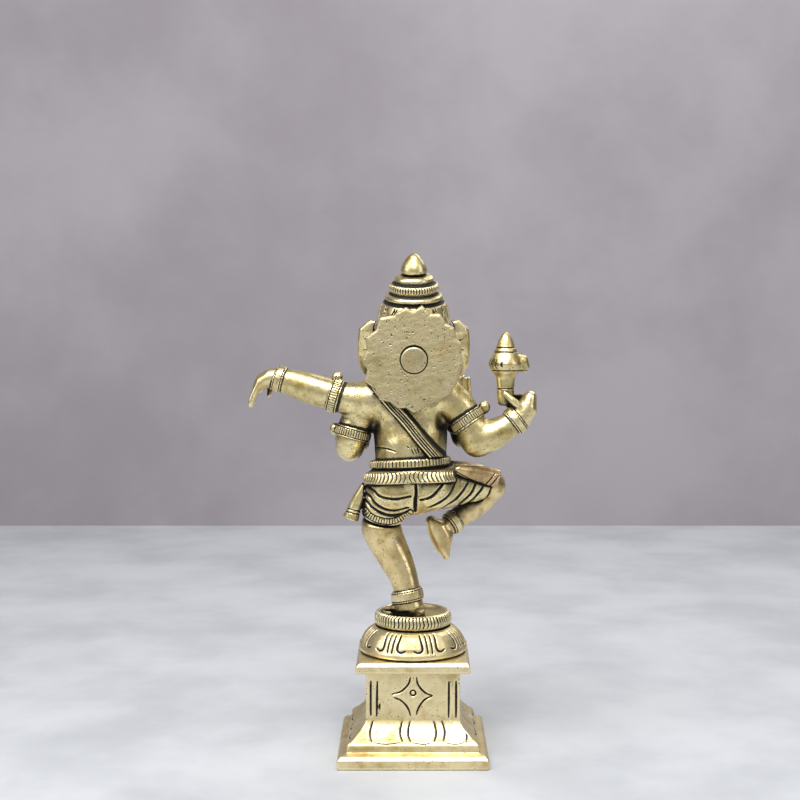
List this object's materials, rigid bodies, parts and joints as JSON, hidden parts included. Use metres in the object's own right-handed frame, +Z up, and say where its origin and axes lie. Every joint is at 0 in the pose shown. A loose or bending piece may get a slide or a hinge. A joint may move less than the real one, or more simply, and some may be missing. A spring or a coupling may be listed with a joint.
{
  "type": "dancing elephant-headed deity statuette",
  "caption": "Four-armed elephant-headed dancer in cast brass on a lotus seat and a hollow square pedestal, with crown, back disc, goad and sweet bowl.",
  "frame": {"origin": "middle of the box round the whole figure, on the surface it stands on; the pedestal's own middle is 7.4 mm towards -X", "axes": "+Z up, the figure's front faces -Y, the figure's own left hand (the outstretched one) is at +X"},
  "size_m": [0.1024, 0.0528, 0.178],
  "materials": {
    "back_disc": "pale cast brass, worn bright on edges, dark patina in the grooves",
    "clamp_nut": "dull zinc-plated",
    "clamp_stud": "dull zinc-plated",
    "clamp_washer": "dull zinc-plated",
    "crown": "golden cast brass, polished high spots, black patina in the grooves",
    "crown_finial": "golden cast brass, polished high spots, black patina in the grooves",
    "disc_rivet": "pale cast brass, worn bright on edges, dark patina in the grooves",
    "foot_ring": "golden cast brass, polished high spots, black patina in the grooves",
    "front_left_arm": "golden cast brass, polished high spots, black patina in the grooves",
    "front_left_armlet": "golden cast brass, polished high spots, black patina in the grooves",
    "front_left_bracelet": "golden cast brass, polished high spots, black patina in the grooves",
    "front_right_arm": "golden cast brass, polished high spots, black patina in the grooves",
    "front_right_armlet": "golden cast brass, polished high spots, black patina in the grooves",
    "front_right_bracelet": "golden cast brass, polished high spots, black patina in the grooves",
    "goad": "golden cast brass, polished high spots, black patina in the grooves",
    "head": "golden cast brass, polished high spots, black patina in the grooves",
    "hip_belt": "golden cast brass, polished high spots, black patina in the grooves",
    "left_ear": "golden cast brass, polished high spots, black patina in the grooves",
    "left_sash": "golden cast brass, polished high spots, black patina in the grooves",
    "lotus_seat": "golden cast brass, polished high spots, black patina in the grooves",
    "pedestal": "pale cast brass, worn bright on edges, dark patina in the grooves",
    "raised_anklet": "golden cast brass, polished high spots, black patina in the grooves",
    "raised_leg": "golden cast brass, polished high spots, black patina in the grooves",
    "rear_left_arm": "golden cast brass, polished high spots, black patina in the grooves",
    "rear_left_armlet": "golden cast brass, polished high spots, black patina in the grooves",
    "rear_left_bracelet": "golden cast brass, polished high spots, black patina in the grooves",
    "rear_right_arm": "golden cast brass, polished high spots, black patina in the grooves",
    "rear_right_armlet": "golden cast brass, polished high spots, black patina in the grooves",
    "rear_right_bracelet": "golden cast brass, polished high spots, black patina in the grooves",
    "right_ear": "golden cast brass, polished high spots, black patina in the grooves",
    "right_sash": "golden cast brass, polished high spots, black patina in the grooves",
    "sacred_thread": "golden cast brass, polished high spots, black patina in the grooves",
    "standing_anklet": "golden cast brass, polished high spots, black patina in the grooves",
    "standing_leg": "golden cast brass, polished high spots, black patina in the grooves",
    "sweet_bowl": "golden cast brass, polished high spots, black patina in the grooves",
    "sweets": "golden cast brass, polished high spots, black patina in the grooves",
    "torso": "golden cast brass, polished high spots, black patina in the grooves",
    "waist_belt": "golden cast brass, polished high spots, black patina in the grooves"
  },
  "bodies": {
    "root": {"back_disc": "back_disc", "clamp_nut": "clamp_nut", "clamp_stud": "clamp_stud", "clamp_washer": "clamp_washer", "crown": "crown", "crown_finial": "crown_finial", "disc_rivet": "disc_rivet", "foot_ring": "foot_ring", "front_left_arm": "front_left_arm", "front_left_armlet": "front_left_armlet", "front_left_bracelet": "front_left_bracelet", "front_right_arm": "front_right_arm", "front_right_armlet": "front_right_armlet", "front_right_bracelet": "front_right_bracelet", "goad": "goad", "head": "head", "hip_belt": "hip_belt", "left_ear": "left_ear", "left_sash": "left_sash", "lotus_seat": "lotus_seat", "pedestal": "pedestal", "raised_anklet": "raised_anklet", "raised_leg": "raised_leg", "rear_left_arm": "rear_left_arm", "rear_left_armlet": "rear_left_armlet", "rear_left_bracelet": "rear_left_bracelet", "rear_right_arm": "rear_right_arm", "rear_right_armlet": "rear_right_armlet", "rear_right_bracelet": "rear_right_bracelet", "right_ear": "right_ear", "right_sash": "right_sash", "sacred_thread": "sacred_thread", "standing_anklet": "standing_anklet", "standing_leg": "standing_leg", "sweet_bowl": "sweet_bowl", "sweets": "sweets", "torso": "torso", "waist_belt": "waist_belt"}
  },
  "joints": []
}
